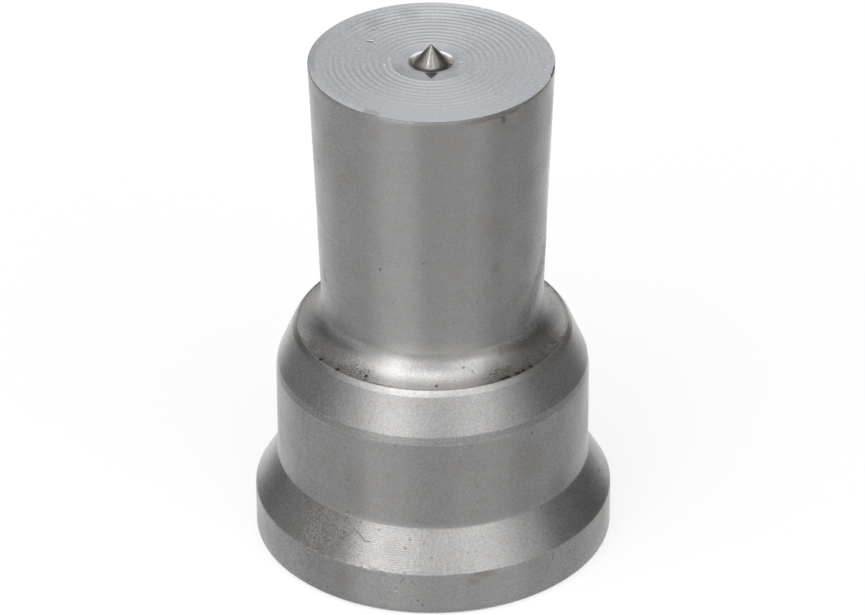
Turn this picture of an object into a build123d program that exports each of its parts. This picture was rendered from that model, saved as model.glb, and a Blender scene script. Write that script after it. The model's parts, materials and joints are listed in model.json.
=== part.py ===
"""Round piercing punch, turned and ground from one bar of tool steel, standing on its head.

Frame: millimetres, +Z up along the turning axis. The origin is the centre of the head's flat end
and the cutting face points up. From the bottom: a collared head with its cone, the guide body, a
two-angle nose, a filleted shoulder, the slender point, and the centring nib on the cutting face.
"""

from build123d import *
from math import cos, radians, sin, tan
import os

# Head: a flat-ended collar with a bearing cone above it
head_diameter = 40.1
rim_height = 5.45
head_edge_break = 0.5
head_cone_half_angle = 30.0

# Guide body: the ground cylinder that the holder centres on
guide_diameter = 35.0
guide_length = 10.9

# Nose: a narrow lead-in band, the main cone and a bright broken edge
lead_length = 0.95
lead_half_angle = 9.0
nose_length = 4.07
nose_half_angle = 23.3
shoulder_break_height = 0.6
shoulder_break_width = 0.44

# Point: the slender working end, with back taper from the cutting edge down to the shoulder
point_diameter = 27.0
point_length = 32.8
land_length = 20.1
land_half_angle = 2.4
land_step = 0.05
neck_half_angle = 2.2
shoulder_flat = 0.08

# Nib: the centring tip left standing in the middle of the cutting face
nib_height = 2.13
nib_half_angle = 41.0
nib_tip_radius = 0.08
nib_root_radius = 1.45

# Heights and radii that follow from the sizes above
head_radius = head_diameter / 2
guide_radius = guide_diameter / 2
guide_base_z = rim_height + (head_radius - guide_radius) / tan(radians(head_cone_half_angle))
guide_top_z = guide_base_z + guide_length
lead_top_z = guide_top_z + lead_length
lead_top_radius = guide_radius - lead_length * tan(radians(lead_half_angle))
nose_top_z = lead_top_z + nose_length
nose_top_radius = lead_top_radius - nose_length * tan(radians(nose_half_angle))
shoulder_z = nose_top_z + shoulder_break_height
shoulder_radius = nose_top_radius - shoulder_break_width
face_z = shoulder_z + point_length
point_radius = point_diameter / 2
land_base_z = face_z - land_length
land_base_radius = point_radius - land_length * tan(radians(land_half_angle))
neck_top_radius = land_base_radius + land_step
neck_length = land_base_z - shoulder_z
neck_base_radius = neck_top_radius - neck_length * tan(radians(neck_half_angle))
shoulder_corner_angle = radians(90 - neck_half_angle)
shoulder_fillet_span = shoulder_radius - neck_base_radius - shoulder_flat
shoulder_fillet_radius = shoulder_fillet_span * tan(shoulder_corner_angle / 2)
tip_z = face_z + nib_height
tip_centre_z = tip_z - nib_tip_radius
nib_slope = radians(nib_half_angle)
nib_apex_z = tip_centre_z + nib_tip_radius / sin(nib_slope)
nib_base_radius = (nib_apex_z - face_z) * tan(nib_slope)


def half_profile():
    """Half of the punch's section, in the XZ plane, closed along the turning axis."""
    tip_round_start = (nib_tip_radius * cos(nib_slope), tip_centre_z + nib_tip_radius * sin(nib_slope))
    tip_round_middle = (
        nib_tip_radius * cos((nib_slope + radians(90)) / 2),
        tip_centre_z + nib_tip_radius * sin((nib_slope + radians(90)) / 2),
    )
    with BuildSketch(Plane.XZ) as section:
        with BuildLine():
            Polyline(
                (0, tip_z),
                (0, 0),
                (head_radius - head_edge_break, 0),
                (head_radius, head_edge_break),
                (head_radius, rim_height),
                (guide_radius, guide_base_z),
                (guide_radius, guide_top_z),
                (lead_top_radius, lead_top_z),
                (nose_top_radius, nose_top_z),
                (shoulder_radius, shoulder_z),
                (neck_base_radius, shoulder_z),
                (neck_top_radius, land_base_z),
                (land_base_radius, land_base_z),
                (point_radius, face_z),
                (nib_base_radius, face_z),
                tip_round_start,
            )
            ThreePointArc(tip_round_start, tip_round_middle, (0, tip_z))
        make_face()
        shoulder_corner = section.vertices().sort_by_distance((neck_base_radius, shoulder_z))[0]
        fillet(shoulder_corner, radius=shoulder_fillet_radius)
        nib_corner = section.vertices().sort_by_distance((nib_base_radius, face_z))[0]
        fillet(nib_corner, radius=nib_root_radius)
    return section.sketch


def make_punch():
    """The whole punch, turned in one piece about the vertical axis."""
    with BuildPart() as punch:
        add(half_profile())
        revolve(axis=Axis.Z)
    return punch.part


os.makedirs("parts", exist_ok=True)
export_step(make_punch(), "parts/punch.step")
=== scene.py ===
"""Looks of a headed round piercing punch, turned and ground from tool steel, standing on its head.

The punch is one spun mesh that stands for the frame's node, with its turned rings, edge breaks, pits and
nicks in the mesh and a finish of its own for each cut that the maker took. Lengths are in metres, +Z is up
along the turning axis and -Y faces the camera.
"""

import json
import math

import bmesh
import bpy
import numpy as np
from mathutils import Matrix, Vector, kdtree, noise


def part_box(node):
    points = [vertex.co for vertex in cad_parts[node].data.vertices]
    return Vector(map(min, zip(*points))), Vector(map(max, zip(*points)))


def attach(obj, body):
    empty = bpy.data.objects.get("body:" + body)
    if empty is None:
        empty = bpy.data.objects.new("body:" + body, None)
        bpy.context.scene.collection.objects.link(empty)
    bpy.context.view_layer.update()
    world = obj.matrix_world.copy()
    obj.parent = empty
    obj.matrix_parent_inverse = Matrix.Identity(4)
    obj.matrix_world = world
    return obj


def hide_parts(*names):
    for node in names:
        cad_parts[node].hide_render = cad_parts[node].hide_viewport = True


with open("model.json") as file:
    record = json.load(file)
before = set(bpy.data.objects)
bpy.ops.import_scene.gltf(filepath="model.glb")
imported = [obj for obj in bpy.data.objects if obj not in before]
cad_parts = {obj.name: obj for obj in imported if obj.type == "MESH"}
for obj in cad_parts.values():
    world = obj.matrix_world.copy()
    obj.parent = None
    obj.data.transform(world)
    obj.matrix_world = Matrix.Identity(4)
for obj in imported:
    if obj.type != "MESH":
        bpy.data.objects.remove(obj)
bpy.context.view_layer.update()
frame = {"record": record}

bl_info = {
    "name": "Piercing punch",
    "version": (1, 0, 0),
    "blender": (4, 5, 0),
    "location": "3D View > Sidebar > Punch",
    "description": "Turns a headed piercing punch, finishes its steel and lights it",
    "category": "Add Mesh",
}

MM = 0.001
NODE = "punch"
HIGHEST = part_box(NODE)[1]
MOUNTS = {mount["name"]: mount for mount in frame["record"]["mounts"]}
RIM = MOUNTS["head_rim"]
GUIDE = MOUNTS["guide_body"]


def mount_radius(mount):
    """A pin mount's radius in metres."""
    return mount["dims"]["r_mm"] * MM


def mount_span(mount):
    """The lower and upper height of a pin mount in metres."""
    half = mount["dims"]["length_mm"] * MM / 2
    return mount["pos_m"][2] - half, mount["pos_m"][2] + half


def length(name, description, default):
    """A length that the sidebar shows, in metres."""
    return bpy.props.FloatProperty(
        name=name, description=description, default=default, subtype="DISTANCE", unit="LENGTH", precision=5
    )


def angle(name, description, degrees):
    """An angle that the sidebar shows."""
    return bpy.props.FloatProperty(
        name=name, description=description, default=math.radians(degrees), subtype="ANGLE", unit="ROTATION"
    )


def number(name, description, default):
    """A plain number that the sidebar shows."""
    return bpy.props.FloatProperty(name=name, description=description, default=default)


def colour(name, description, default):
    """A colour that the sidebar shows."""
    return bpy.props.FloatVectorProperty(
        name=name, description=description, default=default, subtype="COLOR", size=3, min=0, max=1
    )


class PunchSizes(bpy.types.PropertyGroup):
    """Sizes of the punch's section. The head and the guide come from the frame's mounts."""

    rim_radius: length("Rim radius", "Radius of the head's rim", mount_radius(RIM))
    rim_base: length("Rim base", "Height at which the lower edge break ends", mount_span(RIM)[0])
    rim_top: length("Rim top", "Height at which the head cone starts", mount_span(RIM)[1])
    guide_radius: length("Guide radius", "Radius of the ground guide body", mount_radius(GUIDE))
    guide_base: length("Guide base", "Height at which the guide body starts", mount_span(GUIDE)[0])
    guide_top: length("Guide top", "Height at which the guide body ends", mount_span(GUIDE)[1])
    lead_height: length("Lead height", "Height of the narrow lead-in band", 0.95 * MM)
    lead_angle: angle("Lead angle", "Half angle of the lead-in band", 9.0)
    nose_height: length("Nose height", "Height of the nose cone", 4.07 * MM)
    nose_angle: angle("Nose angle", "Half angle of the nose cone", 23.3)
    break_height: length("Break height", "Height of the broken shoulder edge", 0.6 * MM)
    break_width: length("Break width", "Width of the broken shoulder edge", 0.44 * MM)
    ledge: length("Ledge", "Flat left between the shoulder edge and the fillet", 0.08 * MM)
    point_radius: length("Point radius", "Radius of the cutting edge", 13.5 * MM)
    land_length: length("Land length", "Length of the ground land below the cutting edge", 20.1 * MM)
    land_angle: angle("Land angle", "Back taper of the land", 2.4)
    land_step: length("Land step", "Step that the land's grinding left on the neck", 0.05 * MM)
    neck_angle: angle("Neck angle", "Back taper of the neck", 2.2)
    nib_height: length("Nib height", "Height of the centring nib", 2.13 * MM)
    nib_angle: angle("Nib angle", "Half angle of the centring nib", 41.0)
    nib_tip: length("Nib tip radius", "Radius of the nib's point", 0.08 * MM)
    nib_root: length("Nib root radius", "Fillet between the nib and the cutting face", 1.45 * MM)
    edge_round: length("Edge round", "Rounding that handling left on the turned edges", 0.05 * MM)
    ring_pitch: length("Ring pitch", "Feed of the tool across the cutting face", 0.726 * MM)
    ring_depth: length("Ring depth", "Depth of the rings on the cutting face", 0.011 * MM)


class SteelSettings(bpy.types.PropertyGroup):
    """Colours and roughness of the punch's finishes."""

    steel: colour("Steel", "Bare ground tool steel", (0.566, 0.557, 0.551))
    face_steel: colour("Face steel", "The finer, cooler steel of the cutting face", (0.527, 0.541, 0.566))
    grime: colour("Grime", "Oily dirt that sits in the corners", (0.03, 0.026, 0.022))
    rust: colour("Rust", "Thin brown bloom on the steel", (0.275, 0.216, 0.153))
    wall_roughness: number("Wall roughness", "Roughness of the ground walls", 0.44)
    cone_roughness: number("Cone roughness", "Roughness of the turned cones", 0.42)
    fillet_roughness: number("Fillet roughness", "Roughness of the shoulder fillet", 0.4)
    face_roughness: number("Face roughness", "Roughness of the cutting face", 0.1)
    wall_anisotropy: number("Wall anisotropy", "How far grinding stretches a highlight", 0.75)
    cone_anisotropy: number("Cone anisotropy", "How far turning stretches a highlight", 0.635)


class StudioSettings(bpy.types.PropertyGroup):
    """The camera, the soft lights and the floor."""

    camera_place: bpy.props.FloatVectorProperty(
        name="Camera place",
        description="Where the camera stands",
        default=(0.00001, -0.59842, 0.39125),
        subtype="TRANSLATION",
        unit="LENGTH",
    )
    camera_dip: angle("Camera dip", "How far the camera looks down", 31.267)
    camera_roll: angle("Camera roll", "How far the camera is turned about its own axis", -0.258)
    lens: bpy.props.FloatProperty(
        name="Lens", description="Focal length on a 36 mm wide sensor", default=261.59, unit="CAMERA"
    )
    light_level: number("Light level", "Brightness of the whole studio", 1.0)


SETTINGS = {"punch_sizes": PunchSizes, "punch_steel": SteelSettings, "punch_studio": StudioSettings}

# Steps round the punch, points across a ring, the rows of the walls, and the lengths that count as none
STEPS = 240
POINTS_PER_RING = 6
WALL_ROW = 0.55 * MM
TINY = 1e-6
MERGE_DISTANCE = 5e-8

# Segments of each kind of corner, and shares of the usual edge rounding. The tip's takes nearly all its flat
TIP_SEGMENTS = 4
ROOT_SEGMENTS = 12
CUTTING_EDGE_SEGMENTS = 2
SWELL_SEGMENTS = 6
FILLET_SEGMENTS = 24
EDGE_SEGMENTS = 3
CUTTING_EDGE_SHARE = 0.2
GUIDE_FOOT_SHARE = 2
RIM_TOP_SHARE = 1.5
NEARLY_ALL = 0.999

# The soft step between land and neck: its reach up and down, and how much of that is rounded
SWELL = 1.0 * MM
SWELL_ROUND = SWELL * 0.9

# The cutting edge's own rounding is finished like the face
FACE_MARGIN = 0.011 * MM

# Rings of the cutting face: how they wander, their mean strength and what changes it, the rings over which
# they fade at the rim, and those left out beside the nib. The rows are places in the noise
RING_WANDER_SIZE = 4.0 * MM
RING_WANDER = 0.12
RING_MEAN = 0.8
RING_BY_RING = 0.5
RING_BY_PLACE = 0.8
RING_BACK = 0.5
RING_FRONT = 0.9
FADING_RINGS = 3
CLEAR_RINGS = 1.5
RING_ROW = 3.0
PLACE_ROW = 9.0 * MM

# Dents: the squares that they need, how ragged they are, and how far their darkening, grime and painted shade
# in the hollow, spreads up the bowl
FINE_CELL = 0.15 * MM
DENT_CUTS = 3
RAGGED = 0.35
RAGGED_SIZE = 0.6
DIRT_SPREAD = 1.6

# Patches of each pattern to a millimetre, how much stronger the grain is at the sides, and the mottle in it
CLOUD_SCALE = 0.25
MOTTLE_SCALE = 2.0
GRAIN_SCALE = 4.5
SIDE_GRAIN = 1.7
MOTTLE_SHARE = 0.2

# Casts of the bare steel and the colours of the fillet's lip and of the glint at the nib
WARM = (1.02, 1.0, 0.965)
COOL = (0.985, 1.0, 1.03)
TARNISH = (0.46, 0.4, 0.31, 1.0)
GLINT = (0.95, 0.86, 0.55, 1.0)

# What dirt and bloom do to the metal, and the quarter turn of its highlights across the grooves
PLAIN_SPECULAR = 0.5
DIRT_DULLS = 0.4
DIRT_ROUGHENS = 0.2
BLOOM_ROUGHENS = 0.1
ACROSS_THE_GROOVES = 0.25

# Sizes on the finishes in millimetres. The last two are pairs of radii for a painted light or shade with one
# edge
CONE_FEED = 0.231
HAIR_DEPTH = 0.01
RIM_EDGE_HIGHLIGHT = 0.11
DROP_RADIUS = 0.17
DROP_WIDTH = 0.07
RUBBED_HEIGHT = 40.66
CLOT_HEIGHT = 26.4
PAST_RIM = (14.0, 15.0)
FROM_MIDDLE = (-1.0, 0.0)

# The floor's radius, its own grey, and the white that it shows to the camera
FLOOR_RADIUS = 3.0
FLOOR_COLOUR = 0.35
CAMERA_WHITE = 0.745

# The ring of soft lights below the horizon: their bearings and strengths
LOW_LIGHTS = (
    (-105, 0.32),
    (-70, 0.28),
    (-35, 0.2),
    (0, 0.21),
    (35, 0.29),
    (70, 0.28),
    (105, 0.29),
    (-140, 0.16),
    (140, 0.1),
)

# Each soft round light: its bearing and elevation, how far it is full and where it ends, in degrees, and
# its strength. Those below the horizon are what the steel shows of the floor
SOFT_LIGHTS = (
    (-30, 50, 0, 57, 0.64),
    (-28, 45, 0, 28, 1.08),
    (46, 29, 2, 38, 0.74),
    (25, 60, 0, 35, 0.22),
    (-30, 5, 0, 25, 0.85),
    (30, 15, 0, 25, 0.72),
    (0, 0, 0, 20, 0.58),
    (-45, 8, 0, 40, 0.28),
    (0, 76, 5, 40, 0.8),
    (180, 5, 5, 50, 0.6),
    (174, 20, 2, 18, 0.5),
    (180, -5, 3, 20, 0.5),
    (180, 72, 0, 50, 0.08),
    (-100, 55, 0, 45, 0.22),
    (100, 55, 0, 45, 0.05),
    (-95, 15, 0, 50, 0.1),
    (95, 15, 0, 50, 0.07),
    *((azimuth, -31, 0, 35, strength) for azimuth, strength in LOW_LIGHTS),
    (180, -47, 22, 53, 1.15),
    (0, -90, 0, 50, 0.07),
)


def section(s):
    """The corners of half the section from the tip down to the middle of the flat end.

    Each corner is its radius, its height, how far along both sides its rounding starts, and its segments.
    The heights are the tops of the finishes, and the last three values are the height of the cutting face and
    the radii of the nib's root and of the shoulder.
    """
    lead_top = s.guide_top + s.lead_height
    lead_radius = s.guide_radius - s.lead_height * math.tan(s.lead_angle)
    nose_top = lead_top + s.nose_height
    nose_radius = lead_radius - s.nose_height * math.tan(s.nose_angle)
    shoulder = nose_top + s.break_height
    shoulder_radius = nose_radius - s.break_width
    face = HIGHEST.z - s.nib_height
    land_base = face - s.land_length
    land_radius = s.point_radius - s.land_length * math.tan(s.land_angle)
    neck_top_radius = land_radius + s.land_step
    neck_radius = neck_top_radius - (land_base - shoulder) * math.tan(s.neck_angle)
    fillet = shoulder_radius - neck_radius - s.ledge
    swell_top = land_base + SWELL
    swell_base = land_base - SWELL
    swell_top_radius = land_radius + SWELL * math.tan(s.land_angle)
    swell_base_radius = neck_top_radius - SWELL * math.tan(s.neck_angle)
    apex = HIGHEST.z - s.nib_tip + s.nib_tip / math.sin(s.nib_angle)
    nib_radius = (apex - face) * math.tan(s.nib_angle)
    nib_turn = math.pi / 2 - s.nib_angle
    tip_start = (apex - HIGHEST.z) * math.tan(s.nib_angle)
    root = s.nib_root * math.tan(nib_turn / 2)
    edge = s.edge_round
    chamfer = s.rim_base
    corners = [
        (0.0, HIGHEST.z, 0.0, 0),
        (tip_start, HIGHEST.z, tip_start * NEARLY_ALL, TIP_SEGMENTS),
        (nib_radius, face, root, ROOT_SEGMENTS),
        (s.point_radius, face, edge * CUTTING_EDGE_SHARE, CUTTING_EDGE_SEGMENTS),
        (swell_top_radius, swell_top, SWELL_ROUND, SWELL_SEGMENTS),
        (swell_base_radius, swell_base, SWELL_ROUND, SWELL_SEGMENTS),
        (neck_radius, shoulder, fillet, FILLET_SEGMENTS),
        (shoulder_radius, shoulder, edge, EDGE_SEGMENTS),
        (nose_radius, nose_top, edge, EDGE_SEGMENTS),
        (lead_radius, lead_top, edge, EDGE_SEGMENTS),
        (s.guide_radius, s.guide_top, edge, EDGE_SEGMENTS),
        (s.guide_radius, s.guide_base, edge * GUIDE_FOOT_SHARE, EDGE_SEGMENTS),
        (s.rim_radius, s.rim_top, edge * RIM_TOP_SHARE, EDGE_SEGMENTS),
        (s.rim_radius, chamfer, edge, EDGE_SEGMENTS),
        (s.rim_radius - chamfer, 0.0, edge, EDGE_SEGMENTS),
        (0.0, 0.0, 0.0, 0),
    ]
    heights = {
        "rim": s.rim_top,
        "head cone": s.guide_base,
        "guide": s.guide_top,
        "lead": lead_top,
        "nose": nose_top,
        "shoulder edge": shoulder,
        "fillet": shoulder + fillet,
        "neck": land_base,
        "land": face - edge,
    }
    return corners, heights, face, nib_radius + root, shoulder_radius


def turned_section(bm, corners):
    """Leaves the section's outline in the mesh, with every corner rounded, and open along the axis."""
    outline = [bm.verts.new((radius, 0.0, height)) for radius, height, _, _ in corners]
    bm.faces.new(outline)
    for vert, (_, _, start, segments) in zip(outline, corners):
        if segments:
            shape = {"offset": start, "offset_type": "OFFSET", "segments": segments, "profile": 0.5}
            bmesh.ops.bevel(bm, geom=[vert], affect="VERTICES", **shape)
    bmesh.ops.delete(bm, geom=bm.faces[:], context="FACES_ONLY")
    on_axis = [edge for edge in bm.edges if max(vert.co.x for vert in edge.verts) < TINY]
    bmesh.ops.delete(bm, geom=on_axis, context="EDGES")


def divide_rows(bm, s, face):
    """Cuts the long straight stretches of the outline into rows, finer where the face has its rings."""
    for edge in bm.edges[:]:
        low, high = sorted(edge.verts, key=lambda vert: vert.co.x)
        across_face = min(low.co.z, high.co.z) > face - TINY and high.co.x > s.point_radius / 2
        row = s.ring_pitch / POINTS_PER_RING if across_face else WALL_ROW
        cuts = int(edge.calc_length() / row)
        if cuts:
            bmesh.ops.subdivide_edges(bm, edges=[edge], cuts=cuts)


def wall_line(bm, s, face):
    """The heights and radii of the section's walls, from the flat end up to the cutting edge."""
    walls = [vert.co for vert in bm.verts if vert.co.x > s.point_radius / 2 and vert.co.z < face - TINY]
    line = sorted((co.z, co.x) for co in walls)
    return [height for height, _ in line], [radius for _, radius in line]


def place(line, bearing, height, radius=None):
    """A place on the punch in metres, from its bearing in degrees and its height and radius in millimetres.

    Bearing 0 is the front and 90 the right. Without a radius the place is on the wall at that height.
    """
    out = np.interp(height * MM, *line) if radius is None else radius * MM
    turn = math.radians(bearing)
    return Vector((out * math.sin(turn), -out * math.cos(turn), height * MM))


def searchable(bm):
    """A mesh's vertices in a list, and a tree that finds them by their places."""
    verts = bm.verts[:]
    tree = kdtree.KDTree(len(verts))
    for index, vert in enumerate(verts):
        tree.insert(vert.co, index)
    tree.balance()
    return verts, tree


def divide_near(bm, dents):
    """Divides the squares near every dent finely, and keeps the divided surface round."""
    roundness = bm.verts.layers.float.new("roundness")
    for vert in bm.verts:
        vert[roundness] = vert.co.xy.length
    verts, tree = searchable(bm)
    edges = set()
    for centre, size, _, _ in dents:
        near = [verts[index] for _, index, _ in tree.find_range(centre, size / 2 + WALL_ROW)]
        for face in {face for vert in near for face in vert.link_faces}:
            longest = max(edge.calc_length() for edge in face.edges)
            away = (face.calc_center_median() - centre).length
            if len(face.verts) == 4 and longest > FINE_CELL and away < size / 2 + longest / 2:
                edges.update(face.edges)
    made = bmesh.ops.subdivide_edges(bm, edges=list(edges), cuts=DENT_CUTS, use_grid_fill=True)
    for item in set(made["geom_inner"] + made["geom_split"]):
        if isinstance(item, bmesh.types.BMVert) and item.co.xy.length > TINY:
            item.co.xy *= item[roundness] / item.co.xy.length
    bm.verts.layers.float.remove(roundness)


def mark(bm, line, face):
    """Sinks every dent as a ragged bowl, raises every burr, and keeps their darkening as a mesh attribute
    named dirt: grime and painted shade in the hollow.
    """
    on_walls = [(place(line, turn, height), *dent) for turn, height, *dent in WALL_DENTS]
    on_edges = [(place(line, turn, height, radius), *dent) for turn, height, radius, *dent in EDGE_DENTS]
    on_face = [(place(line, turn, face / MM, radius), *burr, 0.0) for turn, radius, *burr in FACE_BURRS]
    marks = on_walls + on_edges + on_face
    dents = [(centre, size * MM, depth * MM, dirt) for centre, size, depth, dirt in marks]
    divide_near(bm, dents)
    dent_grime_and_shade = bm.verts.layers.float.new("dirt")
    bm.normal_update()
    verts, tree = searchable(bm)
    for centre, size, depth, dirt in dents:
        near = [verts[index] for _, index, _ in tree.find_range(centre, size)]
        outward = sum((vert.normal for vert in near), Vector()).normalized()
        for vert in near:
            ragged = 1 + RAGGED * noise.noise(vert.co / (size * RAGGED_SIZE))
            share = (vert.co - centre).length / (size / 2) * ragged
            if share < 1:
                bowl = (1 - share**2) ** 2
                vert.co -= outward * depth * bowl
                vert[dent_grime_and_shade] = max(vert[dent_grime_and_shade], dirt * min(1.0, DIRT_SPREAD * bowl))


def cut_rings(bm, s, face, nib_reach):
    """Sinks the tool's rings into the cutting face, uneven in depth and slightly out of round."""
    for vert in bm.verts:
        radius = math.hypot(vert.co.x, vert.co.y)
        if vert.co.z < face - TINY or not nib_reach < radius < s.point_radius - s.edge_round:
            continue
        wander = noise.noise(Vector((vert.co.x, vert.co.y, 0.0)) / RING_WANDER_SIZE)
        turns = (radius - nib_reach) / s.ring_pitch + RING_WANDER * wander
        by_ring = noise.noise(Vector((radius / s.ring_pitch, 0.0, RING_ROW)))
        by_place = noise.noise(Vector((vert.co.x, vert.co.y, PLACE_ROW)) / (2 * RING_WANDER_SIZE))
        back = vert.co.y / s.point_radius
        strength = RING_MEAN + RING_BY_RING * by_ring + RING_BY_PLACE * by_place
        strength += back * (RING_BACK if back > 0 else RING_FRONT)
        from_rim = (s.point_radius - radius) / s.ring_pitch / FADING_RINGS
        from_nib = (radius - nib_reach) / s.ring_pitch - CLEAR_RINGS
        fade = max(0.0, min(1.0, from_rim, from_nib))
        vert.co.z -= s.ring_depth * max(0.0, strength) * fade * (1 - math.cos(2 * math.pi * turns)) / 2


def zone_of(polygon, heights, face, nib_reach):
    """The name of the finish that a face of the mesh has."""
    middle = polygon.calc_center_median()
    radius = math.hypot(middle.x, middle.y)
    if middle.z > face - FACE_MARGIN:
        return "nib" if radius < nib_reach else "face"
    for name, top in heights.items():
        if middle.z < top:
            return name
    return "land"


FINISH_OF_ZONE = {
    "rim": "turned_rim",
    "head cone": "turned_cone",
    "guide": "guide_body",
    "lead": "lead_band",
    "nose": "nose_cone",
    "shoulder edge": "bright_edge",
    "fillet": "shoulder_fillet",
    "neck": "ground_point",
    "land": "ground_point",
    "face": "cutting_face",
    "nib": "nib_steel",
}

# Each dent: its bearing in degrees, its height, its width and its depth in millimetres, and how dark its
# hollow is, with grime and painted shade
WALL_DENTS = (
    (-5.0, 2.0, 0.36, 0.03, 0.8),
    (-3.5, 1.45, 0.34, 0.03, 0.8),
    (-6.6, 4.45, 0.3, 0.02, 0.6),
    (-5.8, 4.15, 0.26, 0.02, 0.6),
    (-12.0, 3.4, 0.34, 0.02, 0.6),
    (-0.3, 0.8, 0.34, 0.02, 0.6),
    (1.3, 1.85, 0.28, 0.02, 0.4),
    (-19.9, 9.3, 0.32, 0.02, 0.7),
    (-9.6, 7.9, 0.3, 0.02, 0.7),
    (-32.6, 8.2, 0.42, 0.03, 0.8),
    (-38.5, 6.7, 0.4, 0.02, 0.5),
    (-8.1, 8.75, 0.26, 0.02, 0.5),
    (83.1, 7.7, 0.6, 0.04, 0.8),
    (72.8, 5.8, 0.42, 0.03, 0.8),
    (17.5, 8.8, 0.34, 0.02, 0.25),
    (20.3, 8.5, 0.3, 0.02, 0.2),
    (-0.6, 7.1, 0.32, 0.02, 0.6),
    (11.6, 7.4, 0.3, 0.02, 0.5),
    (-33.9, 18.7, 0.34, 0.03, 0.7),
    (-32.7, 14.6, 0.34, 0.03, 0.8),
    (-32.7, 10.4, 0.36, 0.02, 0.7),
    (-13.8, 20.4, 0.36, 0.02, 0.6),
    (-5.9, 10.8, 0.4, 0.02, 0.5),
    (-67.9, 13.5, 0.3, 0.02, 0.5),
    (38.5, 20.0, 0.36, 0.02, 0.7),
    (33.8, 17.4, 0.3, 0.02, 0.6),
    (36.5, 17.9, 0.3, 0.02, 0.6),
    (35.8, 12.8, 0.28, 0.02, 0.5),
    (-24.3, 22.6, 0.3, 0.02, 0.6),
    (36.8, 25.6, 0.3, 0.02, 0.6),
    (-31.1, 26.52, 0.72, 0.07, 1.0),
    (1.6, 26.5, 0.46, 0.04, 1.0),
    (15.5, 27.6, 0.34, 0.03, 0.8),
    (19.5, 27.2, 0.3, 0.02, 0.6),
    (67.1, 26.5, 0.36, 0.03, 0.9),
    (-40.8, 31.9, 0.34, 0.02, 0.6),
    (10.8, 33.3, 0.28, 0.02, 0.5),
    (7.2, 34.9, 0.26, 0.02, 0.4),
    (23.0, 35.5, 0.32, 0.02, 0.5),
    (52.5, 30.3, 0.4, 0.03, 0.4),
    (54.3, 31.1, 0.45, 0.03, 0.4),
    (59.8, 31.2, 0.5, 0.03, 0.4),
    (64.1, 31.6, 0.42, 0.03, 0.4),
    (65.8, 32.5, 0.5, 0.03, 0.4),
    (66.7, 34.8, 0.52, 0.04, 0.5),
    (74.5, 37.6, 0.45, 0.03, 0.4),
    (69.6, 39.5, 0.45, 0.03, 0.4),
    (-26.6, 39.6, 0.5, 0.04, 0.65),
    (-16.4, 40.5, 0.32, 0.03, 0.35),
    (-4.3, 41.2, 0.32, 0.02, 0.6),
    (-28.6, 42.3, 0.3, 0.02, 0.5),
    (-71.0, 49.1, 0.55, 0.03, 0.4),
)

# Each dent: its bearing, its height and radius, its width and depth, and how dark its hollow is, with grime
# and painted shade. Burrs stand proud
EDGE_DENTS = (
    (-55.6, 26.39, 14.98, 0.74, 0.07, 1.0),
    (-44.8, 26.39, 14.92, 0.74, 0.07, 1.0),
    (-25.5, 5.48, 20.02, 0.3, -0.05, 0.0),
    (-22.8, 5.48, 20.02, 0.42, -0.08, 0.0),
    (-21.0, 5.5, 20.02, 0.45, 0.06, 0.0),
    (-19.9, 5.5, 20.0, 0.4, 0.06, 0.3),
    (-19.1, 5.5, 20.0, 0.36, 0.05, 0.5),
    (-18.3, 5.5, 20.0, 0.3, 0.04, 0.2),
    (-16.4, 5.48, 20.02, 0.36, -0.06, 0.0),
    (-15.5, 5.48, 20.02, 0.26, -0.05, 0.0),
    (-9.0, 5.46, 20.03, 0.4, 0.04, 0.4),
    (74.8, 59.16, 13.5, 0.45, 0.05, 0.6),
    *((turn, 59.16, 13.5, 0.55, 0.06, 0.8) for turn in (76.2, 77.6, 79.0, 80.4, 81.8)),
    (83.2, 59.16, 13.5, 0.5, 0.05, 0.8),
    (84.6, 59.16, 13.5, 0.45, 0.05, 0.6),
    (76.0, 59.23, 2.19, 0.26, -0.04, 0.0),
    (105.0, 59.18, 13.48, 0.5, 0.04, 0.0),
    (155.0, 59.18, 13.48, 0.6, 0.08, 0.2),
)

# Each burr on the cutting face, which also gets a painted highlight: its bearing, its radius, and its width
# and depth. Negative depths stand proud
FACE_BURRS = (
    (-139.3, 9.8, 0.36, -0.03),
    (-143.2, 9.4, 0.4, -0.03),
    (-124.5, 8.4, 0.36, -0.04),
    (-125.2, 8.15, 0.46, -0.04),
    (-125.5, 7.9, 0.42, -0.04),
    (-124.9, 7.45, 0.28, -0.02),
    (-108.5, 8.35, 0.38, -0.03),
    (-102.0, 8.4, 0.24, -0.02),
    (-145.7, 6.4, 0.38, -0.03),
    (-96.8, 4.65, 0.26, -0.01),
    (-82.2, 5.15, 0.26, -0.01),
    (84.9, 3.25, 0.4, -0.02),
    (120.2, 12.0, 0.3, -0.02),
    (119.8, 12.3, 0.28, -0.02),
    (107.6, 12.5, 0.28, -0.02),
    (83.9, 12.7, 0.24, -0.02),
    (80.3, 12.5, 0.24, -0.02),
    (75.3, 12.0, 0.22, -0.02),
    (64.2, 13.1, 0.32, -0.02),
    (36.0, 10.5, 0.28, -0.02),
)


def new_object(name, bm):
    """Links a mesh object made from bm, at the origin."""
    mesh = bpy.data.meshes.new(name)
    bm.to_mesh(mesh)
    bm.free()
    made = bpy.data.objects.new(name, mesh)
    bpy.context.scene.collection.objects.link(made)
    return made


def direction(bearing, elevation):
    """A direction from its bearing and its elevation in degrees. Bearing 0 is the front and 90 the right."""
    turn, rise = math.radians(bearing), math.radians(elevation)
    return (math.sin(turn) * math.cos(rise), -math.cos(turn) * math.cos(rise), math.sin(rise))


def cosine(degrees):
    """The cosine of an angle in degrees."""
    return math.cos(math.radians(degrees))


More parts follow.
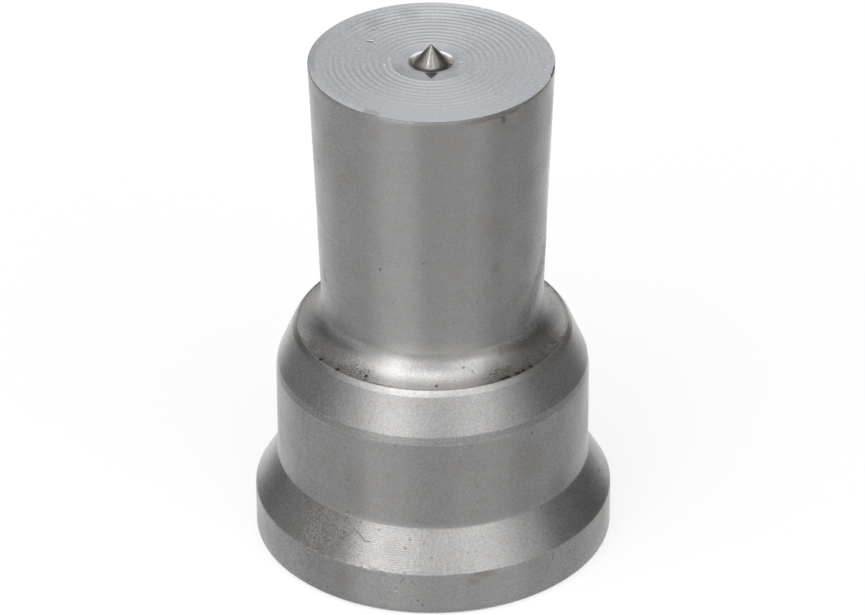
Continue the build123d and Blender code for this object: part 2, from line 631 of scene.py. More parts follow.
class Number:
    """A number in a shader tree. Plain signs between such numbers add the nodes for the sum."""

    def __init__(self, graph, socket):
        self.graph = graph
        self.socket = socket

    def __add__(self, other):
        return self.graph.math("ADD", self, other)

    def __sub__(self, other):
        return self.graph.math("SUBTRACT", self, other)

    def __rsub__(self, other):
        return self.graph.math("SUBTRACT", other, self)

    def __mul__(self, other):
        return self.graph.math("MULTIPLY", self, other)

    def __truediv__(self, other):
        return self.graph.math("DIVIDE", self, other)

    def __abs__(self):
        return self.graph.math("ABSOLUTE", self)

    __radd__ = __add__


class Graph:
    """Adds nodes to one shader tree and links them."""

    def __init__(self, tree):
        tree.nodes.clear()
        self.tree = tree

    def add(self, kind, inputs=None, **settings):
        """A node with its settings, and its inputs linked or filled in."""
        node = self.tree.nodes.new(kind)
        for name, value in settings.items():
            setattr(node, name, value)
        for name, value in (inputs or {}).items():
            self.feed(node.inputs[name], value)
        return node

    def feed(self, socket, value):
        """Links value if it comes from a node, and otherwise writes it in."""
        if isinstance(value, Number):
            value = value.socket
        if isinstance(value, bpy.types.NodeSocket):
            self.tree.links.new(value, socket)
        else:
            socket.default_value = value

    def math(self, operation, first, second=0.0, clamp=False):
        """One sum on numbers."""
        node = self.add("ShaderNodeMath", {0: first, 1: second}, operation=operation, use_clamp=clamp)
        return Number(self, node.outputs[0])

    def vector(self, operation, first, second=(0.0, 0.0, 0.0)):
        """One sum on vectors: a number for a dot product, a distance or a length, and otherwise a vector."""
        node = self.add("ShaderNodeVectorMath", {0: first, 1: second}, operation=operation)
        if operation in ("DOT_PRODUCT", "DISTANCE", "LENGTH"):
            return Number(self, node.outputs["Value"])
        return node.outputs["Vector"]

    def scaled(self, vector, scale):
        """A vector times a number."""
        return self.add("ShaderNodeVectorMath", {0: vector, "Scale": scale}, operation="SCALE").outputs[0]

    def ramp(self, value, low, high, start=0.0, end=1.0):
        """Value eased from start at low to end at high."""
        inputs = {"Value": value, "From Min": low, "From Max": high, "To Min": start, "To Max": end}
        node = self.add("ShaderNodeMapRange", inputs, interpolation_type="SMOOTHSTEP")
        return Number(self, node.outputs[0])

    def noise(self, vector, scale, detail=2.0, roughness=0.5):
        """Cloudy noise about one half."""
        inputs = {"Vector": vector, "Scale": scale, "Detail": detail, "Roughness": roughness}
        return Number(self, self.add("ShaderNodeTexNoise", inputs).outputs[0])

    def mix(self, share, first, second):
        """A blend of two colours."""
        node = self.add("ShaderNodeMix", {0: share}, data_type="RGBA")
        for name, value in (("A", first), ("B", second)):
            socket = next(entry for entry in node.inputs if entry.name == name and entry.type == "RGBA")
            self.feed(socket, value if isinstance(value, bpy.types.NodeSocket) else (*value[:3], 1.0))
        return next(entry for entry in node.outputs if entry.type == "RGBA")

    def combine(self, x, y, z):
        """A vector from three numbers."""
        return self.add("ShaderNodeCombineXYZ", {0: x, 1: y, 2: z}).outputs[0]


# Each painted light or painted shade round a finish: its bearing, how far it is full and where it ends, in
# degrees, and its strength
# A strength above nought paints light and one below it paints shade, where the steel faces brighter or darker
# parts of the studio
PAINTED_LIGHT_AND_SHADE = {
    "rim": (
        (-37.0, 5.0, 14.0, -0.1),
        (-50.0, 4.0, 10.0, 0.04),
        (38.0, 14.0, 34.0, 0.13),
        (-2.0, 6.0, 15.0, 0.08),
    ),
    "head cone": ((-8.0, 4.0, 12.0, -0.13), (-54.0, 5.0, 18.0, 0.16), (46.0, 5.0, 15.0, 0.14)),
    "guide": ((-5.0, 7.0, 18.0, -0.08),),
    "lead": ((68.0, 8.0, 24.0, 0.14),),
    "shoulder edge": ((-5.0, 20.0, 45.0, 0.08),),
    "fillet": ((-29.0, 6.0, 20.0, 0.26), (33.0, 5.0, 17.0, 0.14), (-4.0, 6.0, 16.0, -0.08)),
    "land": ((42.0, 10.0, 24.0, -0.05), (-20.0, 6.0, 18.0, 0.06)),
}

# Each painted light or painted shade on the cutting face: the radii where it starts and is full, those where
# it stops being full and ends, its bearing, how far it is full and where it ends, and its strength
FACE_PAINTED_LIGHT_AND_SHADE = (
    (12.5, 13.0, *PAST_RIM, -55.0, 15.0, 32.0, 0.12),
    (12.5, 13.0, *PAST_RIM, 150.0, 20.0, 40.0, 0.16),
    (12.5, 13.0, *PAST_RIM, -97.0, 8.0, 22.0, -0.12),
    (12.2, 12.9, *PAST_RIM, -30.0, 2.5, 5.5, -0.26),
    (*FROM_MIDDLE, 2.9, 3.6, 10.0, 40.0, 80.0, -0.18),
    (3.1, 3.5, 3.9, 4.5, -15.0, 45.0, 80.0, -0.2),
    (4.3, 4.7, 5.0, 5.6, -30.0, 30.0, 60.0, 0.08),
)

# Each stain: its bearing, its height, its width, its height over its width, and its strength
STAINS = {
    "rim": ((16.0, 5.2, 5.0, 0.5, 0.4), (13.0, 4.3, 2.6, 0.8, 0.3), (-30.0, 3.0, 5.0, 1.0, 0.12)),
    "guide": ((36.0, 17.0, 9.0, 1.2, 0.14), (-29.0, 14.0, 7.0, 2.0, 0.16), (13.5, 20.4, 1.6, 0.5, 0.25)),
    "land": (
        (33.4, 39.3, 2.6, 1.0, 0.24),
        (-4.0, 41.1, 2.0, 0.6, 0.12),
        (27.0, 58.9, 13.0, 0.14, 0.5),
        (35.0, 58.2, 1.5, 1.6, 0.8),
        (41.0, 58.7, 4.0, 0.3, 0.5),
    ),
}

# Each stretch of a hair line: the bearing and height where it starts and where it ends, and its width
HAIRS = {
    "rim": (
        ((41.8, 5.35), (41.2, 4.2), 0.14),
        ((41.2, 4.2), (38.4, 2.9), 0.12),
        ((-10.6, 4.2), (-9.2, 5.0), 0.12),
    ),
    "head cone": (
        ((-29.2, 8.84), (-26.4, 8.43), 0.13),
        ((-26.4, 8.43), (-24.1, 7.97), 0.13),
        ((-24.1, 7.97), (-22.3, 8.0), 0.13),
    ),
}

# Each painted highlight on a burr of the rim's top edge: its bearing, its height and its width
RIM_BURR_HIGHLIGHTS = ((-25.5, 5.43, 0.34), (-22.8, 5.43, 0.5), (-16.1, 5.43, 0.34), (-15.0, 5.4, 0.3))

# Each clot, and each dark dot of grime and painted shade in a pit low on the fillet: its bearing, its radius
# and its width
CLOTS = ((31.2, 15.0, 1.26), (33.6, 14.9, 1.44), (39.1, 14.95, 1.44), (42.3, 14.85, 1.26), (46.7, 14.8, 1.08))
DOTS = ((-55.4, 14.9, 0.68), (-44.8, 14.88, 0.68))

# Each set of arcs that cross the rings: the place that they turn about, their pitch, and where they show
CROSSING_ARCS = (((-30.0, 25.0, 59.2), 0.34, 130.0), ((34.0, 20.0, 59.2), 0.31, -155.0))


class Turned(Graph):
    """A steel finish on a turned surface, with places on it in millimetres."""

    def __init__(self, name, steel, line, heights):
        material = bpy.data.materials.new(name)
        material.use_nodes = True
        super().__init__(material.node_tree)
        self.material = material
        self.steel = steel
        self.line = line
        self.tops = {zone: top / MM for zone, top in heights.items()}
        self.place = self.scaled(self.add("ShaderNodeTexCoord").outputs["Object"], 1 / MM)
        parts = self.add("ShaderNodeSeparateXYZ", {0: self.place}).outputs
        x, y, self.height = (Number(self, part) for part in parts)
        self.radius = self.vector("LENGTH", self.combine(x, y, 0.0))
        self.east = x / self.radius
        self.north = y / self.radius
        self.clouds = self.noise(self.place, CLOUD_SCALE, 4.0)
        self.mottle = self.noise(self.place, MOTTLE_SCALE, 3.0, 0.6)
        self.grain = self.noise(self.place, GRAIN_SCALE, 2.0, 0.6)
        self.sides = 1.0 - self.facing(0.0, 25.0, 50.0)

    def most(self, *values):
        """The largest of several numbers."""
        largest = values[0]
        for value in values[1:]:
            largest = self.math("MAXIMUM", largest, value)
        return largest

    def swing(self, value, size):
        """Noise about one half, made noise about nought with the given size."""
        return (value - 0.5) * (2 * size)

    def wave(self, value, pitch):
        """A wave between minus one and one along value."""
        return self.math("SINE", value * (2 * math.pi / pitch))

    def drawn_out(self, round_scale, up_scale, detail=4.0, roughness=0.7, up=None):
        """Noise that is drawn out round the axis, without a seam."""
        up = self.height if up is None else up
        place = self.combine(self.east * round_scale, self.north * round_scale, up * up_scale)
        return self.noise(place, 1.0, detail, roughness)

    def squeezed(self, across, up, detail=3.0, roughness=0.5):
        """Noise with its own scale across and upwards."""
        return self.noise(self.vector("MULTIPLY", self.place, (across, across, up)), 1.0, detail, roughness)

    def facing(self, degrees, full, none):
        """One where the surface is within full degrees of a bearing, easing to nought at none degrees."""
        near = self.vector("DOT_PRODUCT", self.combine(self.east, self.north, 0.0), direction(degrees, 0.0))
        return self.ramp(near, cosine(none), cosine(full))

    def near(self, value, middle, outer, inner):
        """One where value is within inner of middle, easing to nought at outer."""
        return self.ramp(abs(value - middle), outer, inner)

    def spot(self, bearing, height, size, tall=1.0, radius=None):
        """One at a place on the surface, easing to nought at its edge, with its height over its width."""
        x, y, z = place(self.line, bearing, height, radius) / MM
        squeezed = self.vector("MULTIPLY", self.place, (1.0, 1.0, 1 / tall))
        away = self.vector("DISTANCE", squeezed, (x, y, z / tall))
        return self.ramp(away, size / 2, 0.0)

    def scratch(self, start, end, width):
        """One along a straight line between two places on the walls, and nought half a width away."""
        first = place(self.line, *start) / MM
        along = place(self.line, *end) / MM - first
        from_first = self.vector("SUBTRACT", self.place, tuple(first))
        run = self.vector("DOT_PRODUCT", from_first, tuple(along))
        share = self.math("DIVIDE", run, along.length_squared, clamp=True)
        away = self.vector("DISTANCE", from_first, self.scaled(tuple(along), share))
        return self.ramp(away, width / 2, width / 6)

    def specks(self, scale, size, share):
        """Round specks in some cells of a grid, one inside a speck and nought outside."""
        cells = self.add("ShaderNodeTexVoronoi", {"Vector": self.place, "Scale": scale})
        inside = self.ramp(cells.outputs["Distance"], size, size * 0.5)
        chance = self.add("ShaderNodeSeparateXYZ", {0: cells.outputs["Color"]}).outputs[0]
        return inside * self.math("LESS_THAN", chance, share)

    def ragged(self, mask):
        """A soft mask broken up by the mottle."""
        return self.ramp(mask + self.swing(self.mottle, 0.5), 0.15, 1.0)

    def edge_highlight(self, top, half=0.09):
        """A painted highlight along the edge at the given height, broken into patches."""
        places = self.ramp(self.noise(self.place, 0.8, 3.0, 0.7), 0.35, 0.65, 0.2, 1.0)
        return self.near(self.height, top, half, half / 3) * places

    def shades(self, zone):
        """The sum of a finish's painted light and painted shade."""
        return sum(self.facing(*where) * strength for *where, strength in PAINTED_LIGHT_AND_SHADE[zone])

    def hairs(self, zone):
        """One along a finish's hair lines."""
        return self.most(*[self.scratch(*stretch) for stretch in HAIRS[zone]])

    def thin_bloom(self, strength):
        """A brown bloom in soft clouds, with its greatest strength."""
        return self.ramp(self.clouds, 0.45, 0.8, 0.0, strength)

    def uneven(self, roughness, size):
        """A roughness that changes by size in soft clouds."""
        return roughness + self.swing(self.clouds, size)

    def bare(self, tint, *shades, grain=0.36):
        """The steel's colour with its grain, a trace of warm and cool in it, and further tones, painted light
        and painted shade.
        """
        warm, cool = ([part * share for part, share in zip(tint, cast)] for cast in (WARM, COOL))
        grained = self.mix(self.ramp(self.mottle, 0.3, 0.7), warm, cool)
        coarser = self.swing(self.grain, grain) * self.ramp(self.sides, 0.0, 1.0, 1.0, SIDE_GRAIN)
        base = 1.0 + coarser + self.swing(self.mottle, grain * MOTTLE_SHARE)
        return self.scaled(grained, sum(shades, base))

    def finish(self, colour, roughness, anisotropy, relief, bloom=0.0, dirt=0.0):
        """Ends the tree in metal with a relief in millimetres, dimmed by bloom and covered by dirt, which in
        the dents is also painted shade.
        """
        dent_grime_and_shade = self.add("ShaderNodeAttribute", attribute_type="GEOMETRY", attribute_name="dirt")
        dirt = self.most(dent_grime_and_shade.outputs["Fac"], dirt)
        bump = self.add("ShaderNodeBump", {"Height": relief, "Distance": MM, "Strength": 1.0})
        stained = self.mix(bloom, colour, self.steel.rust)
        inputs = {
            "Base Color": self.mix(dirt, stained, self.steel.grime),
            "Metallic": 1.0 - dirt,
            "Roughness": roughness + dirt * DIRT_ROUGHENS + bloom * BLOOM_ROUGHENS,
            "Specular IOR Level": PLAIN_SPECULAR - dirt * DIRT_DULLS,
            "Anisotropic": anisotropy,
            "Normal": bump.outputs[0],
        }
        shader = self.add("ShaderNodeBsdfPrincipled", inputs)
        if anisotropy:
            tangent = self.add("ShaderNodeTangent", direction_type="RADIAL", axis="Z")
            self.feed(shader.inputs["Tangent"], tangent.outputs[0])
            shader.inputs["Anisotropic Rotation"].default_value = ACROSS_THE_GROOVES
        self.add("ShaderNodeOutputMaterial", {"Surface": shader.outputs[0]})
        return self.material


def ground(g, zone, *bright, darks=0.0, marks=0.0, grain=0.38, finer=0.0):
    """Cylindrical grinding: fine lines round the wall over a soft grain, with its own stains and painted
    light and shade.
    """
    lines = g.drawn_out(2.0, 4.0)
    bands = g.drawn_out(4.0, 0.02, 2.0, 0.5)
    # Its own painted light and shade, and what the finish adds: mostly painted light, with some wear
    lights = (g.shades(zone), *bright)
    colour = g.bare(g.steel.steel, g.swing(lines, 0.1), g.swing(bands, 0.07), *lights, grain=grain)
    rough = g.uneven(g.steel.wall_roughness - finer, 0.04) + g.swing(g.mottle, 0.02)
    relief = lines * 0.0009 + g.grain * (grain * 0.0024) - marks * HAIR_DEPTH
    bloom = g.thin_bloom(0.12)
    for *where, strength in STAINS.get(zone, ()):
        bloom = g.most(bloom, g.ragged(g.spot(*where)) * strength)
    dirt = g.most(g.specks(0.4, 0.045, 0.4) * 0.7, darks, marks * 0.6)
    return g.finish(colour, rough, g.steel.wall_anisotropy, relief, bloom, dirt)


def turned_rim(g):
    """The head's rim, with brown dirt along its top edge, a hair line and a few light arcs, painted light and
    shade, and painted highlights along that edge and on its burrs.
    """
    burr_highlights = g.most(*[g.spot(*burr) for burr in RIM_BURR_HIGHLIGHTS])
    scratch = g.scratch((-13.8, 3.0), (-10.9, 2.98), 0.12)
    # Painted highlights along the top edge and on its burrs, and a light scratch
    lights = g.edge_highlight(g.tops["rim"], RIM_EDGE_HIGHLIGHT) * 0.28 + burr_highlights * 0.9 + scratch * 0.3
    return ground(g, "rim", lights, marks=g.hairs("rim"))


def turned_cone(g):
    """The head cone, whose feed lines show in front on the left, with oily brown dirt beside them, painted
    light and shade, and a painted highlight along the rim's edge.
    """
    shown = 0.15 + g.facing(-19.0, 9.0, 17.0) * 0.85
    # The feed lines are strongest in front on the left, where the light shows them; in the colour they are
    # partly painted shade in the grooves
    depth = g.wave(g.height, CONE_FEED) * shown * g.ramp(g.mottle, 0.2, 0.6, 0.5, 1.0)
    lines = g.drawn_out(3.0, 7.0)
    hatch = g.drawn_out(60.0, 1.2, 3.0, 0.5)
    hatched = g.facing(3.0, 5.0, 16.0)
    hair = g.hairs("head cone")
    patches = g.ramp(g.noise(g.place, 0.7, 3.0), 0.25, 0.6, 0.75, 1.0)
    brown = g.facing(-46.0, 13.0, 24.0) * g.facing(-31.0, 4.0, 26.0) * patches
    cloudy = g.ragged(g.spot(66.0, 7.0, 7.0, 0.7))
    bloom = g.most(g.thin_bloom(0.15), brown * 0.3, cloudy * 0.15)
    grit = g.noise(g.place, 4.4, 3.0, 0.75)
    oily = g.ramp(brown * 0.2 + grit, 0.62, 0.83, 0.0, 0.65)
    dirt = g.most(brown * oily, g.specks(0.5, 0.05, 0.5) * 0.6, hair * 0.8)
    colour = g.bare(
        g.steel.steel,
        g.swing(lines, 0.1),
        g.swing(hatch, 0.2) * hatched,
        depth * 0.09,
        g.swing(grit, 2.2) * brown,
        g.edge_highlight(g.tops["rim"], RIM_EDGE_HIGHLIGHT) * 0.3,
        g.shades("head cone"),
    )
    relief = depth * 0.0024 + lines * 0.0012 + g.grain * 0.0014 + hatch * hatched * 0.002 - hair * HAIR_DEPTH
    rough = g.uneven(g.steel.cone_roughness, 0.05)
    return g.finish(colour, rough, g.steel.cone_anisotropy, relief, bloom, dirt)


def guide_body(g):
    """The ground guide, with dull speckled places at the left and right of its front, painted shade in front,
    a painted highlight along its top edge and painted light towards its foot.
    """
    base = g.tops["head cone"]
    edge = g.edge_highlight(g.tops["guide"] - 0.03) * 0.35
    # Painted light towards the guide's foot
    foot = g.ramp(g.height, base + 0.7, base, 0.0, 0.14)
    return ground(g, "guide", edge, foot, grain=0.3)


def lead_band(g):
    """The narrow lead-in, ground finer, with painted light on its right and painted highlights along its
    edges above and below, and a little darker all over.
    """
    edges = g.edge_highlight(g.tops["lead"]) * 0.45 + g.edge_highlight(g.tops["guide"]) * 0.2
    return ground(g, "lead", edges, -0.07, finer=0.02)


def nose_cone(g):
    """The nose, with a slanting grain and one small ring that a drop left."""
    slant = g.squeezed(2.6, 0.7)
    lines = g.drawn_out(3.0, 7.0)
    drop = place(g.line, -17.2, 22.46) / MM
    ring = g.near(g.vector("DISTANCE", g.place, tuple(drop)), DROP_RADIUS, DROP_WIDTH, 0.0)
    colour = g.bare(g.steel.steel, g.swing(slant, 0.06), g.swing(lines, 0.04), ring * -0.2)
    relief = lines * 0.0008 + g.grain * 0.0012 + slant * 0.0012
    rough = g.uneven(g.steel.cone_roughness, 0.05)
    dirt = g.specks(0.4, 0.045, 0.4) * 0.6
    return g.finish(colour, rough, g.steel.cone_anisotropy, relief, g.thin_bloom(0.12), dirt)


def bright_edge(g):
    """The narrow broken edge of the shoulder, cut bright, stained dark on its right, and with painted light
    in front.
    """
    lines = g.drawn_out(3.0, 7.0)
    streaks = g.drawn_out(9.0, 1.0, 3.0, 0.5)
    colour = g.bare(g.steel.steel, g.swing(lines, 0.07), g.swing(streaks, 0.12), g.shades("shoulder edge"))
    relief = lines * 0.0006 + g.grain * 0.0008
    stained = g.facing(66.0, 10.0, 24.0) * g.ramp(streaks, 0.3, 0.6, 0.5, 1.0)
    bloom = g.most(g.ramp(g.mottle, 0.5, 0.8) * 0.25, stained * 0.5)
    rough = 0.4 + g.swing(g.mottle, 0.05)
    return g.finish(colour, rough, 0.5, relief, bloom, stained * 0.35)


def shoulder_fillet(g, ledge_radius):
    """The form-ground fillet, with oily dirt by the shoulder edge, thickest at both sides of the front,
    painted light and shade, and painted streaks at its sides.
    """
    above = g.height - g.tops["shoulder edge"]
    grit = g.noise(g.place, 6.5, 3.0, 0.75)
    patches = g.noise(g.place, 0.9, 3.0)
    right = g.facing(50.0, 18.0, 36.0)
    thick = g.most(g.facing(-50.0, 14.0, 32.0), right, g.facing(180.0, 60.0, 100.0) * 0.5)
    reach = thick * 1.6 + 0.35
    low = g.math("SUBTRACT", 1.0, above / reach, clamp=True)
    haze = low * (thick * 0.88 + 0.12) * g.ramp(patches, 0.25, 0.65, 0.7, 1.0)
    lip = g.ramp(g.radius, ledge_radius - 0.45, ledge_radius - 0.12)
    stained = g.most(thick, g.facing(-34.0, 6.0, 22.0) * 0.8)
    on_lip = stained * 0.6 + g.swing(patches, 0.4) + g.swing(grit, 0.6)
    speckled = g.ramp(low * 0.45 + grit, 0.75, 1.0, 0.0, 0.72)
    clots = g.most(*[g.spot(turn, CLOT_HEIGHT, width, 0.6, radius) for turn, radius, width in CLOTS])
    dots = g.most(*[g.spot(turn, CLOT_HEIGHT, width, 1.0, radius) for turn, radius, width in DOTS])
    drip = g.ragged(g.spot(37.0, 28.1, 1.3, 2.0, 12.45))
    dirt = g.most(
        g.ramp(haze * 0.4 + grit, 0.68, 0.92, 0.0, 0.82),
        g.facing(46.0, 14.0, 30.0) * speckled,
        g.ramp(clots * g.ramp(grit, 0.3, 0.6, 0.4, 1.0), 0.1, 0.5),
        lip * g.ramp(on_lip, 0.0, 0.7, 0.02, 0.85),
        g.specks(0.6, 0.06, 0.5) * 0.7,
        drip * 0.12,
        g.ramp(dots, 0.0, 0.3),
    )
    bloom = g.most(haze * 0.2, haze * right * 0.66, drip * 0.35)
    sides = g.most(g.facing(-82.0, 12.0, 26.0), g.facing(82.0, 12.0, 26.0))
    # Painted streaks of light and shade at the fillet's sides
    painted_streaks = g.swing(g.drawn_out(40.0, 0.5, 3.0, 0.5), 0.5) * sides * g.ramp(above, 0.9, 1.9)
    # Painted light in front and painted shade on the right, high on the fillet
    front = g.facing(4.0, 16.0, 36.0) * g.ramp(above, 1.2, 1.9)
    dark = g.facing(57.0, 10.0, 26.0) * g.ramp(above, 1.0, 2.0)
    glow = g.shades("fillet") + front * 0.25 - dark * 0.26
    colour = g.mix(lip * 0.5, g.bare(g.steel.steel, g.swing(grit, 0.3), painted_streaks, glow), TARNISH)
    rough = g.uneven(g.steel.fillet_roughness, 0.05)
    relief = g.grain * 0.002 + grit * dirt * 0.004
    return g.finish(colour, rough, g.steel.cone_anisotropy * 0.7, relief, bloom, dirt)


def ground_point(g):
    """The neck and the land: a brown spot, a dark stain under the cutting edge and scuffs at the sides, with
    painted light and shade, and painted light on the right edge and in front by the fillet.
    """
    scuffs = g.squeezed(3.6, 1.6, roughness=0.7)
    right = g.scratch((80.0, 37.0), (55.0, 30.8), 4.6)
    left = g.spot(-71.5, 35.0, 2.0, 3.5)
    streaks = g.ramp(g.most(right, left) * 0.28 + scuffs, 0.7, 0.95, 0.0, 0.6)
    # Painted light down the land's right edge
    edge = g.facing(86.0, 4.0, 13.0) * g.ramp(g.height, 36.0, 48.0)
    rubbed = g.near(g.height, RUBBED_HEIGHT, 0.3, 0.05) * g.facing(-72.0, 12.0, 24.0)
    # Painted light in front, low on the neck by the fillet
    foot = g.facing(4.0, 16.0, 36.0) * g.ramp(g.height, g.tops["fillet"] + 1.9, g.tops["fillet"] - 0.1)
    lights = edge * 0.22 + rubbed * 0.12 + g.swing(scuffs, 0.8) * right + foot * 0.2
    return ground(g, "land", lights, darks=streaks, grain=0.24)


def cutting_face(g, face_height):
    """The faced end: bright and cool, with the mesh's rings, finer arcs that cross them near the rim, painted
    light and shade, and painted highlights on its burrs.
    """
    fine = g.drawn_out(2.5, 6.0, up=g.radius)
    broad = g.drawn_out(0.8, 1.6, 2.0, 0.5, up=g.radius)
    outer = g.ramp(g.radius, 7.0, 12.5)
    arcs = 0.0
    for centre, pitch, side in CROSSING_ARCS:
        arcs += g.wave(g.vector("DISTANCE", g.place, centre), pitch) * outer * g.facing(side, 15.0, 45.0)
    crossing = arcs * g.ramp(g.clouds, 0.35, 0.6)
    # Painted shade on the face's sides
    sides = g.most(g.facing(-90.0, 20.0, 75.0), g.facing(90.0, 20.0, 75.0))
    # Bands of painted light and painted shade at given radii and bearings
    bands = []
    for start, full, still_full, end, *where, strength in FACE_PAINTED_LIGHT_AND_SHADE:
        band = g.ramp(g.radius, start, full) * g.ramp(g.radius, end, still_full)
        bands.append(band * g.facing(*where) * strength)
    cloudy = g.ramp(g.radius, 9.0, 10.5) * g.ramp(g.radius, 12.8, 12.2) * g.facing(-175.0, 25.0, 55.0)
    # Painted highlights on the face's burrs
    burr_highlights = [g.spot(turn, face_height, size, 1.0, radius) for turn, radius, size, _ in FACE_BURRS]
    colour = g.bare(
        g.steel.face_steel,
        g.swing(fine, 0.06),
        g.swing(broad, 0.06),
        crossing * 0.05,
        sides * -0.14,
        *bands,
        cloudy * g.swing(g.clouds, 0.5),
        # painted shade round the nib's foot
        g.ramp(g.radius, 3.6, 2.9) * -0.06,
        g.ramp(g.most(*burr_highlights), 0.0, 0.5),
        grain=0.18,
    )
    rough = g.uneven(g.steel.face_roughness, 0.03)
    relief = fine * 0.0004 + crossing * 0.0006 + g.grain * 0.0003
    dirt = g.specks(0.5, 0.05, 0.25) * 0.5
    return g.finish(colour, rough, 0.0, relief, 0.0, dirt)


def nib_steel(g):
    """The nib, dull and brownish, polished round its foot, with two painted highlight streaks in front,
    painted shade between them and on its flanks, a painted reflection at its back and a painted glint by its
    foot.
    """
    fine = g.drawn_out(2.0, 9.0)
    foot = g.ramp(g.radius, 1.6, 2.1)
    above = 1.0 - foot
    skirt = g.ramp(g.radius, 1.95, 2.2)
    flanks = g.most(g.facing(-72.0, 26.0, 48.0), g.facing(72.0, 26.0, 48.0))
    # Painted highlights: two streaks in front, with painted shade between them
    streaks = g.most(g.facing(-14.5, 1.5, 5.5), g.facing(8.5, 1.5, 4.5) * 0.8)
    shade = above * (streaks * 0.5 - g.facing(-3.0, 14.0, 34.0) * 0.3)
    # Painted reflection round the back of the foot, and painted shade on its flanks
    ends = skirt * (g.facing(180.0, 55.0, 75.0) * 0.6 - flanks * 0.5)
    tint = 0.75 + foot * 0.25 + shade + ends
    # A painted glint by the foot
    glint = g.ramp(g.spot(76.0, 59.23, 0.36, 1.0, 2.19), 0.0, 0.5)
    colour = g.mix(glint, g.scaled(g.bare(g.steel.steel, g.swing(fine, 0.12), grain=0.2), tint), GLINT)
    bloom = g.ramp(g.mottle, 0.4, 0.7, 0.1, 0.4) * above
    rough = 0.32 + g.swing(g.mottle, 0.05) - foot * 0.24
    return g.finish(colour, rough, 0.0, fine * 0.0006, bloom)


def finishes(steel, line, heights, face, ledge_radius):
    """Every finish of the punch, by name."""
    makers = {
        "turned_rim": turned_rim,
        "turned_cone": turned_cone,
        "guide_body": guide_body,
        "lead_band": lead_band,
        "nose_cone": nose_cone,
        "bright_edge": bright_edge,
        "shoulder_fillet": lambda g: shoulder_fillet(g, ledge_radius / MM),
        "ground_point": ground_point,
        "cutting_face": lambda g: cutting_face(g, face / MM),
        "nib_steel": nib_steel,
    }
    return {name: make(Turned(name, steel, line, heights)) for name, make in makers.items()}


class PUNCH_OT_turn(bpy.types.Operator):
    """Turns the punch from its section, cuts its rings and gives each cut its finish"""

    bl_idname = "punch.turn"
    bl_label = "Turn the punch"
    bl_options = {"REGISTER", "UNDO"}

    def execute(self, context):
        s = context.scene.punch_sizes
        corners, heights, face, nib_reach, ledge_radius = section(s)
        bm = bmesh.new()
        turned_section(bm, corners)
        divide_rows(bm, s, face)
        line = wall_line(bm, s, face)
        geometry = bm.verts[:] + bm.edges[:]
        bmesh.ops.spin(
            bm, geom=geometry, cent=(0, 0, 0), axis=(0, 0, 1), angle=2 * math.pi, steps=STEPS, use_merge=True
        )
        bmesh.ops.remove_doubles(bm, verts=bm.verts[:], dist=MERGE_DISTANCE)
        bmesh.ops.recalc_face_normals(bm, faces=bm.faces[:])
        made = finishes(context.scene.punch_steel, line, heights, face, ledge_radius)
        names = list(made)
        for polygon in bm.faces:
            polygon.smooth = True
            polygon.material_index = names.index(FINISH_OF_ZONE[zone_of(polygon, heights, face, nib_reach)])
        cut_rings(bm, s, face, nib_reach)
        mark(bm, line, face)
        punch = new_object("turned_punch", bm)
        for name in names:
            punch.data.materials.append(made[name])
        shading = punch.modifiers.new("even shading", "WEIGHTED_NORMAL")
        shading.mode = "FACE_AREA"
        shading.weight = 100
        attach(punch, "root")
        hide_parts(NODE)
        return {"FINISHED"}


class PUNCH_OT_stage(bpy.types.Operator):
    """Sets the pale floor, the soft studio light and the camera"""

    bl_idname = "punch.stage"
    bl_label = "Set the stage"
    bl_options = {"REGISTER", "UNDO"}

    def execute(self, context):
        s = context.scene.punch_studio
        lay_floor()
        light_studio(context.scene, s)
        set_camera(context.scene, s)
        return {"FINISHED"}


def lay_floor():
    """A round pale floor with the punch's soft shadow on it. Reflections see the studio's light past it."""
    bm = bmesh.new()
    bmesh.ops.create_circle(bm, cap_ends=True, segments=96, radius=FLOOR_RADIUS)
    floor = new_object("pale_floor", bm)
    material = bpy.data.materials.new("pale_paper")
    material.use_nodes = True
    g = Graph(material.node_tree)
    rays = g.add("ShaderNodeLightPath").outputs
    paper = g.add("ShaderNodeBsdfDiffuse", {"Color": (*[FLOOR_COLOUR] * 3, 1)})
    white = g.math("MULTIPLY", rays["Is Camera Ray"], CAMERA_WHITE)
    glow = g.add("ShaderNodeEmission", {"Color": (1, 1, 1, 1), "Strength": white})
    seen = g.add("ShaderNodeAddShader", {0: paper.outputs[0], 1: glow.outputs[0]})
    through = g.math("MAXIMUM", rays["Is Glossy Ray"], rays["Is Transmission Ray"])
    through = g.math("MAXIMUM", through, rays["Is Shadow Ray"])
    clear = g.add("ShaderNodeBsdfTransparent")
    both = g.add("ShaderNodeMixShader", {0: through, 1: seen.outputs[0], 2: clear.outputs[0]})
    g.add("ShaderNodeOutputMaterial", {"Surface": both.outputs[0]})
    floor.data.materials.append(material)


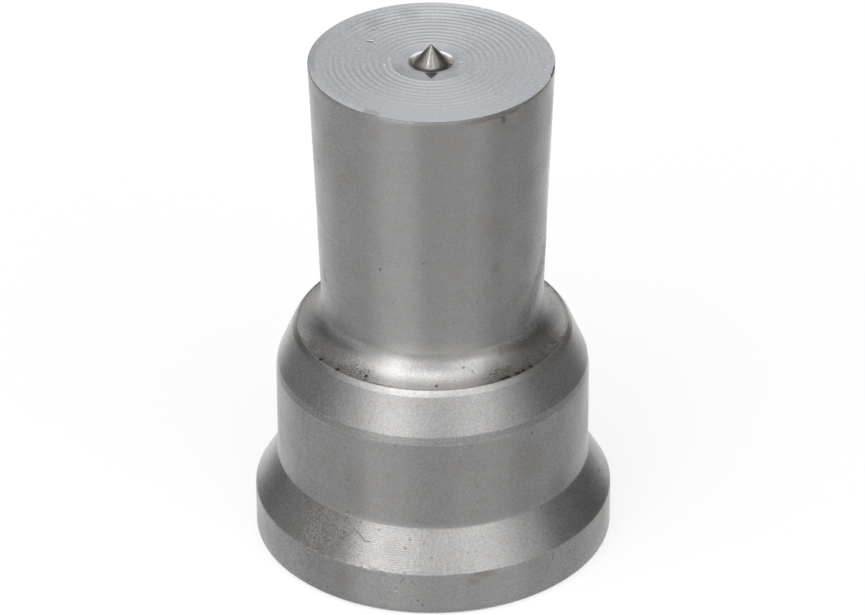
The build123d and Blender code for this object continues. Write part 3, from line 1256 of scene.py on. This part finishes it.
def light_studio(scene, s):
    """A world of soft lights, dimmer below where the floor lies, and white where the camera sees it."""
    world = bpy.data.worlds.new("studio")
    world.use_nodes = True
    scene.world = world
    g = Graph(world.node_tree)
    seen = g.add("ShaderNodeTexCoord").outputs["Generated"]
    glow = 0.0
    for azimuth, elevation, full, none, strength in SOFT_LIGHTS:
        near = g.vector("DOT_PRODUCT", seen, direction(azimuth, elevation))
        glow += g.ramp(near, cosine(none), cosine(full), 0.0, strength * s.light_level)
    camera = g.add("ShaderNodeLightPath").outputs["Is Camera Ray"]
    back = g.add("ShaderNodeBackground", {"Color": (1, 1, 1, 1), "Strength": g.math("MAXIMUM", glow, camera)})
    g.add("ShaderNodeOutputWorld", {"Surface": back.outputs[0]})


def set_camera(scene, s):
    """The camera at the photograph's angle."""
    data = bpy.data.cameras.new("camera")
    data.sensor_fit = "HORIZONTAL"
    data.sensor_width = 36.0
    data.lens = s.lens
    data.clip_start, data.clip_end = 0.01, 20.0
    camera = bpy.data.objects.new("camera", data)
    scene.collection.objects.link(camera)
    dip = Matrix.Rotation(math.pi / 2 - s.camera_dip, 4, "X")
    camera.matrix_world = Matrix.Translation(s.camera_place) @ dip @ Matrix.Rotation(s.camera_roll, 4, "Z")
    scene.camera = camera


class PUNCH_PT_panel(bpy.types.Panel):
    """The punch's sizes, steel and studio, with the buttons that make them"""

    bl_idname = "PUNCH_PT_panel"
    bl_label = "Piercing punch"
    bl_space_type = "VIEW_3D"
    bl_region_type = "UI"
    bl_category = "Punch"

    def draw(self, context):
        for operator in OPERATORS:
            self.layout.operator(operator.bl_idname)
        for name in SETTINGS:
            box = self.layout.box()
            settings = getattr(context.scene, name)
            for key in settings.__annotations__:
                box.prop(settings, key)


OPERATORS = (PUNCH_OT_turn, PUNCH_OT_stage)
CLASSES = (*SETTINGS.values(), *OPERATORS, PUNCH_PT_panel)


def register():
    """Adds the classes and the settings to Blender."""
    for entry in CLASSES:
        bpy.utils.register_class(entry)
    for name, group in SETTINGS.items():
        setattr(bpy.types.Scene, name, bpy.props.PointerProperty(type=group))


def unregister():
    """Takes the settings and the classes out again."""
    for name in SETTINGS:
        delattr(bpy.types.Scene, name)
    for entry in reversed(CLASSES):
        bpy.utils.unregister_class(entry)


def main():
    """Makes the punch and its stage."""
    register()
    bpy.context.scene.view_settings.view_transform = "Standard"
    bpy.ops.punch.turn()
    bpy.ops.punch.stage()


if __name__ == "__main__":
    main()
